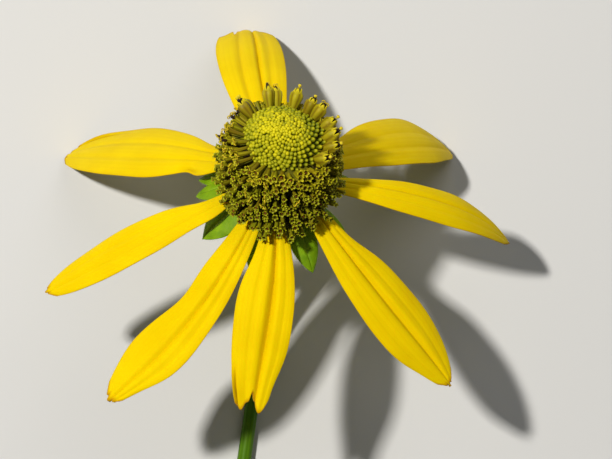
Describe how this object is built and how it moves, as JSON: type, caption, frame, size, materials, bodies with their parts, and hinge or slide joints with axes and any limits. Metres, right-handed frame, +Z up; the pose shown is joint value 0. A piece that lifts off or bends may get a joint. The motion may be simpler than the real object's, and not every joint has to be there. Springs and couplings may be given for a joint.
{
  "type": "cutleaf coneflower",
  "caption": "Single cut coneflower lying face up: drooping yellow rays round a tall green and golden disc of small florets, leafy green bracts behind it and a bent green stem.",
  "frame": {"origin": "on the surface that the flower lies on, under the middle of its bounding box", "axes": "+Z up, +Y from the stem's cut end towards the head, +X to the right seen from above with the head furthest away"},
  "size_m": [0.0677, 0.1112, 0.0435],
  "materials": {
    "petal": "matte",
    "floret": "matte",
    "bud": "matte",
    "leaf": "matte",
    "stem": "satin"
  },
  "bodies": {
    "root": {"ray_back": "petal", "ray_right_back": "petal", "ray_right": "petal", "ray_front_right": "petal", "ray_front": "petal", "ray_front_left": "petal", "ray_left": "petal", "ray_left_back": "petal", "disc_florets": "floret", "disc_buds": "bud", "involucre": "leaf", "stem": "stem"}
  },
  "joints": []
}
